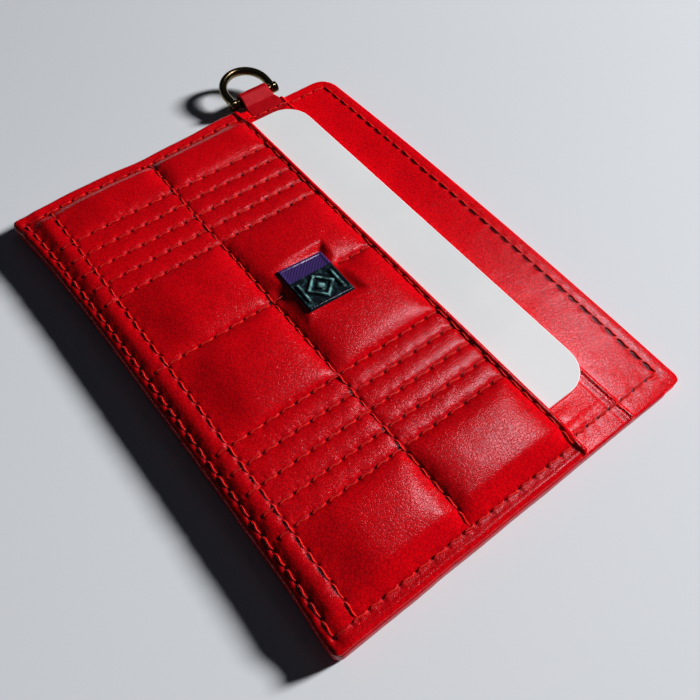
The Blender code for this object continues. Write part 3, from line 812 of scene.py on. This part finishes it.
def pocket_grid():
    """The pocket's top surface, with its flat lines, and the painted shade of its seams."""
    flat_u, flat_v = crossings(INNER_US, INNER_VS)
    puffed = puffed_by_simulation
    moved = refined(ironed(puffed(flat_u, flat_v) - joined(flat_u, flat_v, 0)))
    us = bordered(refined(flat_u)[:, 0], WIDTH, (MARGIN_LINES, MARGIN_LINES))
    vs = bordered(refined(flat_v)[0], POCKET_TOP, (MARGIN_LINES, HEM_LINES), last_inset=0)
    u, v = crossings(us, vs)
    shift = np.zeros((*u.shape, 3))
    shift[MARGIN_LINES:-MARGIN_LINES, MARGIN_LINES:-HEM_LINES] = moved
    x, y = outline_place(u, v, POCKET_TOP, 1.0)
    from_side = np.minimum(u, WIDTH - u)
    from_top = POCKET_TOP - v
    inside = (u > BORDER_LEFT) & (u < BORDER_RIGHT) & (v > BORDER_BOTTOM) & (v < BORDER_TOP)
    z = valley_height(u, v) + np.where(inside, puff_height(u, v, shift[..., 2]), 0)
    margin = np.clip(from_side / BORDER_BOTTOM, 0, 1)
    z += MARGIN_BULGE * np.sin(np.pi * margin) * (from_side < BORDER_BOTTOM)
    z += np.minimum(round_over(from_side, 1.1, 0.62), round_over(v, ROLL_REACH, ROLL_DROP))
    for column in COLUMNS:
        z -= CREASE_DEPTH * hill(u - column, 0.4) * (1 - smooth(BORDER_BOTTOM - 0.3, COLUMN_START, v))
    hem = from_top / (POCKET_TOP - BORDER_TOP)
    z += HEM_BULGE * np.sin(np.pi * np.clip(hem, 0, 1)) ** 0.6 * (hem < 1)
    z += round_over(from_top, 0.4, 0.4)
    z += stitch_relief(QUILTING, u, v, pit=0.16, groove=0.05, pucker=0.012, streak=0.035)
    z += stitch_relief(BORDER, u, v, pit=0.18, groove=0.06, pucker=0.015)
    z += 0.035 * noise(u, v, 3.0) * smooth(0.2, 2.5, np.minimum(from_side, v)) + 0.008 * noise(u, v, 1.1)
    points = joined(x + shift[..., 0], y + shift[..., 1], z)
    return Surface(us, vs, points), seam_painted_shade(QUILTING + BORDER, u, v)


def boundary_loop(count_u, count_v):
    """Grid places along the outline, once round."""
    end_u, end_v = count_u - 1, count_v - 1
    loop = [(i, 0) for i in range(end_u)] + [(end_u, j) for j in range(end_v)]
    return np.array(loop + [(end_u - i, end_v - j) for i, j in loop])


def make_pocket():
    """The quilted pocket: its puffed top, its edges and its ceiling over the card."""
    surface, shade = pocket_grid()
    count_u, count_v = surface.points.shape[:2]
    loop = boundary_loop(count_u, count_v)
    outline = surface.points[loop[:, 0], loop[:, 1]]
    flat_u = surface.us[loop[:, 0]]
    flat_v = surface.vs[loop[:, 1]]
    on_mouth = flat_v > POCKET_TOP - 0.01
    over_card = plateau((2.6, CARD_LOW[0] - 0.2), (CARD_HIGH[0] + 2.5, CARD_HIGH[0] + 5), flat_u)
    mouth_low = POCKET_LOW + (CEILING - POCKET_LOW) * over_card
    wall_low = np.where(on_mouth, mouth_low, np.minimum(POCKET_LOW, outline[:, 2] - 0.1))
    under = np.where(on_mouth, mouth_low, POCKET_LOW)
    loops = [outline.copy()]
    loops[0][:, 2] = wall_low
    lowest = CARD_LOW[1] - CARD_PLAY
    for side, bottom, end, height in ((POCKET_WALL, lowest - 0.9, 0.3, under),
                                      (CEILING_INSET, lowest - 0.5, 0.6, CEILING)):
        y = bottom + flat_v / POCKET_TOP * (POCKET_TOP - bottom - end)
        y += bottom_shift(flat_u, y)
        loops.append(joined(side + flat_u / WIDTH * (WIDTH - 2 * side), y, height))
    points = np.concatenate([surface.points.reshape(-1, 3), *loops])
    faces = list(grid_faces(count_u, count_v))
    rims = [loop[:, 0] * count_v + loop[:, 1]]
    rims += [np.arange(len(loop)) + count_u * count_v + k * len(loop) for k in range(len(loops))]
    for outer, inner in zip(rims, rims[1:]):
        faces += list(np.stack([outer, np.roll(outer, -1), np.roll(inner, -1), inner], -1))
    faces.append(rims[-1])
    # Painted shade: the pocket's walls and ceiling get a fixed share, the top its seams' share.
    shades = np.concatenate([shade.ravel(), np.full(len(loop) * len(loops), UNDERSIDE_PAINTED_SHADE)])
    nodes = ["pocket_shell", "pocket_padding", "pocket_hem", *(f"pocket_seam_{side}" for side in SEWN_SIDES)]
    pocket = make_piece("pocket_leather", points, faces, LEATHER, replaces=nodes, shade=shades)
    make_stitches("quilting_stitches", surface, QUILTING, ["quilting_thread"])
    make_stitches("pocket_border_stitches", surface, BORDER, ["pocket_border_thread"])


# ---- flat panels


PANEL_CELL = 0.5
PANEL_EDGE = 1.2
PANEL_THINNEST = 0.12
PANEL_SEAM_PAINTED_SHADE = 0.4


def make_panel(name, node, top, top_radius, relief, rows, bow=0.0, notch=None, pressed_below=False):
    """A leather panel with rounded edges, its own relief, and stitch rows pressed into one face."""
    low, high = (part[2] for part in place_of(node))
    stops_u, stops_v = (notch[:1], notch[1:]) if notch else ((), ())
    us = bordered(graded([PANEL_EDGE, *stops_u, WIDTH - PANEL_EDGE], PANEL_CELL), WIDTH, (6, 6))
    vs = bordered(graded([PANEL_EDGE, *stops_v, top - PANEL_EDGE], PANEL_CELL), top, (6, 7), last_inset=0)
    u, v = crossings(us, vs)
    x, y = outline_place(u, v, top, top_radius, bow, PANEL_TUCK)
    shared, upper = relief(u, v)
    drop = round_over(np.minimum(np.minimum(u, WIDTH - u), np.minimum(v, top - v)), 0.3, 0.2)
    groove = REAR_GROOVE if pressed_below else 0.05
    pressed = stitch_relief(rows, u, v, pit=0.09, groove=groove, pucker=0.01)
    high_z = high + shared + upper + drop + (0 if pressed_below else pressed)
    low_z = low + shared - drop - (pressed if pressed_below else 0)
    over, under = joined(x, y, high_z), joined(x, y, np.minimum(low_z, high_z - PANEL_THINNEST))
    keep = None
    if notch:
        middle_u, middle_v = crossings((us[1:] + us[:-1]) / 2, (vs[1:] + vs[:-1]) / 2)
        keep = ~((middle_u < notch[0]) & (middle_v > notch[1]) & (middle_v < notch[2]))
    # Painted shade in the stitch grooves and pits, on the face that the rows press into.
    shade = PANEL_SEAM_PAINTED_SHADE * seam_painted_shade(rows, u, v)
    shades = [0 * shade, shade] if pressed_below else [shade, 0 * shade]
    piece = make_piece(name, *shell(over, under, keep), SMOOTH_LEATHER, replaces=[node], shade=shades)
    return Surface(us, vs, under if pressed_below else over)


TAB_V = (TAB_LOW[1] + TAB_HIGH[1]) / 2
TAB_HALF = (TAB_HIGH[1] - TAB_LOW[1]) / 2
TAB_ROOT_END = TAB_HIGH[0]
NOTCH = (TAB_ROOT_END + 0.15, TAB_V - TAB_HALF - 0.1, TAB_V + TAB_HALF + 0.1)


def mouth_lift(u, v):
    """How far the front panel's mouth bows out."""
    across = 2 * u / WIDTH - 1
    return MOUTH_LIFT * (1 - across ** 2) * smooth(SLOT_TOP + 0.6, HEIGHT, v)


def front_relief(u, v):
    """Front panel: bowed mouth, a soft rim outside the row, and gentle waves."""
    rim = 0.04 * hill(v - (MOUTH_ROW + HEIGHT) / 2, 0.8) + 0.06 * hill(u - (BODY_ROW_RIGHT + WIDTH) / 2, 1.3)
    inside = smooth(0.3, 3.0, np.minimum(np.minimum(u, WIDTH - u), np.minimum(v, HEIGHT - v)))
    waves = 0.05 * noise(u, v, 7.0) + 0.02 * noise(u + 5, v, 2.2)
    hidden = 1 - smooth(SLOT_TOP - 1, SLOT_TOP + 1.5, v)
    return mouth_lift(u, v), (rim + inside * waves) * (1 - hidden)


def slot_relief(u, v):
    """Slot panel: turned top edge with a crease below it, and a crease along its right side."""
    turned = 0.07 * smooth(SLOT_TOP - 2.3, SLOT_TOP - 1.9, v)
    crease_top = -0.12 * hill(v - (SLOT_TOP - 2.1), 0.22) * smooth(CARD_HIGH[0] - 6, CARD_HIGH[0], u)
    crease_side = -0.1 * hill(u - (BODY_ROW_RIGHT - 1.7), 0.25) * smooth(POCKET_TOP - 2, POCKET_TOP, v)
    bulge = 0.3 * hill(u - (WIDTH - 6.3), 2.4) * hill(v - POCKET_TOP - 1.5, 4.0)
    waves = 0.035 * noise(u, v, 5.0) + 0.02 * noise(u, v + 3, 1.6)
    shown = smooth(POCKET_TOP - 3, POCKET_TOP, v)
    clear_of_card = smooth(CARD_HIGH[0] - 1, CARD_HIGH[0] + 2, u) + (1 - smooth(1.5, CARD_LOW[0], u))
    return 0 * u, (turned + crease_top + crease_side + waves) * shown + bulge * shown * clear_of_card


def plain_relief(u, v):
    """A panel that lies flat, with faint waves."""
    return 0 * u, 0.03 * noise(u, v, 6.0)


def make_panels():
    """The four leather panels with their rows of stitches."""
    rear_rows = rows_round(even_row, REAR_ROWS[0] + THREAD_HALF, REAR_ROWS[1] - THREAD_HALF)
    rear = make_panel("rear_slot_leather", "rear_slot_panel", REAR_SLOT_TOP, 1.0,
                      lambda u, v: (0 * u, 0 * u), rear_rows, pressed_below=True)
    make_stitches("rear_slot_stitches", rear, rear_rows, ["rear_slot_thread"], below=True)
    make_panel("back_leather", "back_panel", HEIGHT, RING_CORNER_RADIUS, plain_relief, [], bow=MOUTH_BOW)
    mouth_rows = [even_row(0, MOUTH_ROW, BORDER_LEFT, BODY_ROW_RIGHT)]
    mouth_rows += [even_row(1, u, SLOT_TOP + 0.3, MOUTH_ROW) for u in (BORDER_LEFT, BODY_ROW_RIGHT)]
    front = make_panel("front_leather", "front_panel", HEIGHT, RING_CORNER_RADIUS, front_relief, mouth_rows,
                       bow=MOUTH_BOW, notch=NOTCH)
    make_stitches("mouth_stitches", front, mouth_rows, ["mouth_thread"])
    slot_rows = [even_row(1, u, POCKET_TOP + 0.4, SLOT_TOP - 0.3) for u in (BODY_ROW_RIGHT, BORDER_LEFT)]
    slot = make_panel("slot_leather", "slot_panel", SLOT_TOP, 0.3, slot_relief, slot_rows, notch=NOTCH)
    make_stitches("slot_stitches", slot, slot_rows[:1], ["slot_thread"])
    make_stitches("tab_stitches", slot, slot_rows[1:], ["tab_thread"])


def wavy_slab(low, high, cell, depth, size, along_outline=False):
    """Points and faces of a slightly uneven slab between two corners."""
    u, v = crossings(graded([low[0], high[0]], cell), graded([low[1], high[1]], cell))
    x, y = outline_place(u, v, HEIGHT, RING_CORNER_RADIUS, 0.0, PANEL_TUCK) if along_outline else (u, v)
    wave = abs(depth * noise(u, v, size))
    return shell(joined(x, y, high[2] - wave), joined(x, y, low[2] + wave))


def make_seam_fillers():
    """Leather strips between the back and front panels along three sides."""
    for side in SEWN_SIDES:
        points, faces = wavy_slab(*place_of(f"body_seam_{side}"), 1.0, 0.02, 3.0, along_outline=True)
        make_piece(f"body_filler_{side}", points, faces, SMOOTH_LEATHER, replaces=[f"body_seam_{side}"])


def make_lining(name, node, heights=None):
    """A thin woven lining, a little uneven, as high as its node or at heights of its own."""
    low, high = place_of(node)
    if heights:
        low[2], high[2] = heights
    points, faces = wavy_slab(low, high, 1.5, (high[2] - low[2]) * 0.12, 6.0)
    piece = make_piece(name, points, faces, LINING, replaces=[node], slot="red_lining")


# ---- painted edge


def outline_path(step=0.45):
    """The body's outline from the mouth's left corner down, along the bottom and up to the right corner."""
    reach = HEIGHT - RING_CORNER_RADIUS
    left = [(0.0, v) for v in np.arange(reach, 0, -step)]
    bottom = [(u, 0.0) for u in np.arange(0, WIDTH, step)]
    right = [(WIDTH, v) for v in np.arange(0, reach, step)]
    u, v = np.array(left + bottom + right).T
    return u, v, joined(*outline_place(u, v, HEIGHT, RING_CORNER_RADIUS, MOUTH_BOW, PANEL_TUCK))


def outward(tangents):
    """The flat directions to the right of the tangents."""
    tangents = unit(tangents)
    return joined(tangents[:, 1], -tangents[:, 0])


EDGE_PROFILE = [(-0.35, 0.0), (-0.02, 0.0), (0.07, 0.12), (0.12, 0.35),
                (0.12, 0.65), (0.07, 0.88), (-0.02, 1.0), (-0.35, 1.0)]
EDGE_LOW = 0.16


def make_painted_edge():
    """Band of edge paint over the sewn layers, as high as the layers are at each place."""
    u, v, path = outline_path()
    away = outward(np.gradient(path, axis=0))
    top = PANEL_TOP - 0.12 + 0 * v
    top += (SLOT_PANEL_TOP - PANEL_TOP) * (1 - smooth(SLOT_TOP - 0.4, SLOT_TOP, v))
    top += (POCKET_LOW + 0.22 - SLOT_PANEL_TOP) * (1 - smooth(POCKET_TOP - 0.5, POCKET_TOP, v))
    at_tab = (u < 1) * plateau((NOTCH[1] - 0.5, NOTCH[1]), (NOTCH[2], NOTCH[2] + 0.5), v)
    top = top * (1 - at_tab) + (TAB_LOW_Z - 0.1) * at_tab
    count = np.arange(len(v))
    ends = smooth(0, 4, np.minimum(count, count[::-1]))
    rings = []
    for out, up in EDGE_PROFILE:
        shift = out * (0.6 + 0.4 * ends) + 0.02 * noise(u + v, 9 * np.full(len(v), up), 1.3)
        rings.append(np.column_stack([path + away * shift[:, None], EDGE_LOW + (top - EDGE_LOW) * up]))
    make_piece("painted_edge", np.stack(rings, 1), tube_faces(len(v), len(rings)), EDGE_PAINT)


# ---- tab and ring


WIRE_RADIUS = 0.9
BAR = np.array([TAB_LOW[0] + 1.7, TAB_V, (TAB_LOW[2] + TAB_HIGH[2]) / 2])
TAB_LOW_Z = place_of("front_panel")[0][2]
TAB_OUTER = BAR[0] - TAB_LOW[0]
TAB_THICK = 0.5
TAB_LOOP_HALF = 3.5
TAB_NECK = 2.6
TAB_FLARE = 3.0


def tab_path(half_gap, radius):
    """Side view of one face of the folded strip, round the bar: root, neck, loop, neck, root."""
    root = TAB_ROOT_END - BAR[0]
    leave = math.atan2(half_gap, TAB_NECK) + math.acos(min(1.0, radius / math.hypot(TAB_NECK, half_gap)))
    neck = np.array([(x, half_gap) for x in np.linspace(root, TAB_NECK, 16)])
    turns = leave + (2 * math.pi - 2 * leave) * np.linspace(0, 1, 41)
    loop = radius * joined(np.cos(turns), np.sin(turns))
    blend = [neck[-1] * (1 - t) + loop[0] * t for t in np.linspace(0.15, 0.85, 5)]
    upper = np.concatenate([neck, blend])
    return np.concatenate([upper, loop, upper[::-1] * (1, -1)])


def make_tab():
    """Leather strip folded round the ring's bar, flared where it meets the body."""
    half = (SLOT_PANEL_TOP - TAB_LOW_Z) / 2
    outer = tab_path(half, TAB_OUTER)
    inner = tab_path(0.05, TAB_OUTER - TAB_THICK)
    across = np.sin(np.linspace(-np.pi / 2, np.pi / 2, 33))
    flare = (TAB_HALF - TAB_LOOP_HALF) * smooth(-TAB_FLARE, 0.3, outer[:, 0] + BAR[0]) ** 1.5
    y = (TAB_LOOP_HALF + flare)[:, None] * across
    near = round_over((1 - abs(across)) * TAB_LOOP_HALF, 0.35, 0.16)
    lumps = 0.03 * noise(np.arange(len(outer))[:, None] * 0.4, across[None, :] * 4, 1.1)
    grids = []
    for path, shift in ((outer, near + lumps), (inner, -near + 0 * lumps)):
        moved = path[:, None] + outward(np.gradient(path, axis=0))[:, None] * shift[..., None]
        grids.append(joined(moved[..., 0], y, moved[..., 1]) + BAR)
    # Painted shade at the tab's root, where it goes in between the body's layers.
    shade = 0.8 * hill(grids[0][..., 0] - TAB_ROOT_END, 0.5)
    make_piece("tab_leather", *shell(*grids), TAB_LEATHER, replaces=["ring_tab"], shade=[shade, 0 * shade])


RING_HALF = (RING_HIGH[1] - RING_LOW[1]) / 2 - WIRE_RADIUS
RING_REACH = 7.9
RING_TILT = math.radians(9)
RING_CORNER = 1.1
KNUCKLE_RADIUS = 1.15
KNUCKLE_LENGTH = 1.7


def ring_path():
    """Centre line of the ring: a straight bar, two tight corners and a half circle."""
    bend = RING_HALF - RING_REACH
    bar_end = RING_HALF - RING_CORNER
    bar = [(0.0, y) for y in np.linspace(-bar_end, bar_end, 24)]
    side = [(RING_CORNER * (math.cos(t) - 1), bar_end + RING_CORNER * math.sin(t))
            for t in np.linspace(0, math.pi / 2, 12)[1:]]
    side += [(x, RING_HALF) for x in np.linspace(-RING_CORNER, bend, 8)[1:]]
    arc = [math.pi / 2 + math.pi * k / 72 for k in range(1, 72)]
    bow = [(bend + RING_HALF * math.cos(t), RING_HALF * math.sin(t)) for t in arc]
    return np.array(bar + side + bow + [(x, -y) for x, y in side[::-1]])


def make_ring():
    """The D-ring's wire and the barrels at the ends of its bar."""
    path = ring_path()
    away = outward(np.roll(path, -1, axis=0) - np.roll(path, 1, axis=0))
    angle = np.linspace(0, 2 * np.pi, 24, endpoint=False)
    flat = path[:, None] + away[:, None] * WIRE_RADIUS * np.cos(angle)[None, :, None]
    points = joined(flat[..., 0], flat[..., 1], WIRE_RADIUS * np.sin(angle))
    points = points @ np.array(Matrix.Rotation(RING_TILT, 3, "Y")).T + BAR
    faces = tube_faces(len(path), len(angle), closed=True)
    make_piece("ring_wire", points, faces, GOLD, body="ring", replaces=["d_ring"], slot="gold_metal")
    half = KNUCKLE_LENGTH / 2
    profile = np.array([(0.75, -half), (0.95, -half + 0.06), (1, -half + 0.2),
                        (1, half - 0.2), (0.95, half - 0.06), (0.75, half)])
    radius = profile[:, :1] * KNUCKLE_RADIUS
    turns = np.linspace(0, 2 * np.pi, 32, endpoint=False)
    for number, side in enumerate((-1, 1)):
        middle = side * (RING_HALF + WIRE_RADIUS - half)
        barrel = joined(radius * np.cos(turns), middle + profile[:, 1:], radius * np.sin(turns)) + BAR
        make_piece(f"ring_barrel_{number}", barrel, tube_faces(len(profile), len(turns)), GOLD, body="ring",
                   slot="gold_metal")


# ---- emblem


EMBLEM_STEPS = (66, 58)
EMBLEM_TURN = math.radians(-2.3)
EMBLEM_RISE = 0.75
BAND_WIDTH = 3.7


def emblem_height(x, y, half):
    """The plate's relief and where its raised strokes are: a lozenge in a larger one, between two bars."""
    inside = np.minimum(half[0] - abs(x), half[1] - abs(y))
    rim = smooth(0.0, 0.35, inside) * 0.3 - 0.1 * smooth(0.62, 0.8, inside)
    reach = abs(x - 1.6) + abs(y)
    stroke = np.maximum(1 - smooth(0.25, 0.5, abs(reach - 2.5)), 1 - smooth(0.7, 1.1, reach))
    stroke = np.maximum(stroke, (1 - smooth(0.2, 0.4, abs(abs(y) - 3.5))) * (abs(x - 1.6) < 2.2))
    return rim + 0.3 * stroke * (inside > 0.7), stroke * (inside > 0.7)


def emblem_material(name):
    """Dark glossy enamel with a violet band of fine slanting lines along its ring side, and painted pale teal
    glints on its raised strokes.
    """
    look = Look(name, roughness=0.16, coat_weight=0.4, coat_roughness=0.05)
    edge = EMBLEM_LOW[0] + BODY_ORIGIN[0] / MM + BAND_WIDTH
    band = look.ranged(look.axis(0), edge - 0.15, edge + 0.15, 1.0, 0.0)
    lines = look.wave(look.math("ADD", look.axis(0), look.axis(1)), 9.0)
    violet = look.mixed(look.ranged(lines, -1.0, 1.0), rgb(0.02, 0.012, 0.065), rgb(0.05, 0.025, 0.13))
    specks = look.noise(0.9, 2.0)
    teal = look.mixed(look.ranged(specks, 0.5, 0.72), rgb(0.004, 0.007, 0.01), rgb(0.02, 0.05, 0.06))
    # Painted glint: pale teal on the raised strokes, marked by the mesh's seam attribute and broken up by the
    # specks.
    painted_glint = look.math("MULTIPLY", look.attribute(), look.ranged(specks, 0.38, 0.62, 0.1, 0.9))
    teal = look.mixed(painted_glint, teal, rgb(0.16, 0.36, 0.36))
    return look.finished(look.mixed(band, teal, violet), specks, 0.08, 0.6)


def make_emblem():
    """The enamelled plate with its raised motif, sunk a little into the leather and slightly tilted."""
    half = EMBLEM_HALF
    x, y = crossings(*(np.linspace(-half[k], half[k], EMBLEM_STEPS[k]) for k in (0, 1)))
    middle = SEAT_Z + 0.05 + x * EMBLEM_FALL[0] + y * EMBLEM_FALL[1]
    relief, stroke = emblem_height(x, y, half)
    turned_x = x * math.cos(EMBLEM_TURN) - y * math.sin(EMBLEM_TURN) + EMBLEM_CENTRE[0]
    turned_y = x * math.sin(EMBLEM_TURN) + y * math.cos(EMBLEM_TURN) + EMBLEM_CENTRE[1]
    points, faces = shell(joined(turned_x, turned_y, middle + relief),
                          joined(turned_x, turned_y, middle - EMBLEM_RISE))
    # The raised strokes go in as the shade values, where the material paints glints.
    make_piece("emblem_enamel", points, faces, emblem_material("emblem_enamel"),
               replaces=["emblem_plate", "emblem_motif"], slot="dark_metal", shade=[stroke, 0 * stroke])


# ---- carried-over nodes, stage, camera


def finish_nodes():
    """Give the CAD nodes that stay their own materials."""
    for name, material in (("blank_card", CARD_WHITE), ("emblem_backplate", DARK_METAL)):
        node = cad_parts[name]
        node.data.materials.clear()
        node.data.materials.append(material)


FLOOR_SIZE = 3.0
KEY = {"towards": (0.6, 2.35, 1.0), "distance": 1.3, "size": 0.22, "power": 40.5, "colour": (1.0, 0.98, 0.96)}
GLOSS = {"towards": (-0.1, 0.5, 0.86), "distance": 0.5, "size": 0.1, "power": 0.34, "colour": (1.0, 0.88, 1.0)}
FILL_COLOUR = (0.62, 0.7, 0.85, 1.0)
FILL_STRENGTH = 0.018


def make_light(name, towards, distance, size, power, colour):
    """A round soft light that shines on the middle of the holder."""
    light = bpy.data.lights.new(name, "AREA")
    light.shape = "ELLIPSE"
    light.size = light.size_y = size
    light.energy = power
    light.color = colour
    lamp = bpy.data.objects.new(name, light)
    direction = Vector(towards).normalized()
    lamp.location = direction * distance
    lamp.rotation_euler = direction.to_track_quat("Z", "Y").to_euler()
    bpy.context.scene.collection.objects.link(lamp)
    return lamp


def make_stage():
    """Pale floor, one soft key light, a sheen light from above and a weak cool fill."""
    bpy.ops.mesh.primitive_plane_add(size=FLOOR_SIZE)
    floor = bpy.context.object
    floor.name = "floor"
    floor.data.materials.append(floor_material("floor"))
    make_light("key", **KEY).visible_glossy = False
    make_light("gloss", **GLOSS).visible_diffuse = False
    world = bpy.data.worlds.new("studio")
    world.use_nodes = True
    background = world.node_tree.nodes["Background"]
    background.inputs["Color"].default_value = FILL_COLOUR
    background.inputs["Strength"].default_value = FILL_STRENGTH
    bpy.context.scene.world = world
    bpy.context.scene.view_settings.view_transform = "Standard"


CAMERA_AZIMUTH = math.radians(51.0)
CAMERA_ELEVATION = math.radians(56.93)
CAMERA_ROLL = math.radians(1.37)
CAMERA_DISTANCE = 127.1 * MM
CAMERA_TARGET = Vector((11.18, -3.97, 2.0)) * MM
CAMERA_LENS = 38.19


def make_camera():
    """Camera at the photograph's viewing angle."""
    camera = bpy.data.objects.new("camera", bpy.data.cameras.new("camera"))
    level = math.cos(CAMERA_ELEVATION)
    back = Vector((math.sin(CAMERA_AZIMUTH) * level, -math.cos(CAMERA_AZIMUTH) * level,
                   math.sin(CAMERA_ELEVATION)))
    turn = back.to_track_quat("Z", "Y").to_matrix() @ Matrix.Rotation(CAMERA_ROLL, 3, "Z")
    camera.matrix_world = Matrix.Translation(CAMERA_TARGET + back * CAMERA_DISTANCE) @ turn.to_4x4()
    camera.data.lens = CAMERA_LENS
    camera.data.clip_start = 0.005
    bpy.context.scene.collection.objects.link(camera)
    bpy.context.scene.camera = camera


make_pocket()
make_seam_fillers()
make_panels()
make_lining("back_lining_cloth", "back_lining")
make_lining("front_lining_cloth", "front_lining")
make_lining("pocket_lining_cloth", "pocket_lining", (CARD_HIGH[2] + 0.025, CARD_HIGH[2] + 0.075))
make_painted_edge()
make_tab()
make_ring()
make_emblem()
finish_nodes()
make_stage()
make_camera()
bpy.context.view_layer.update()
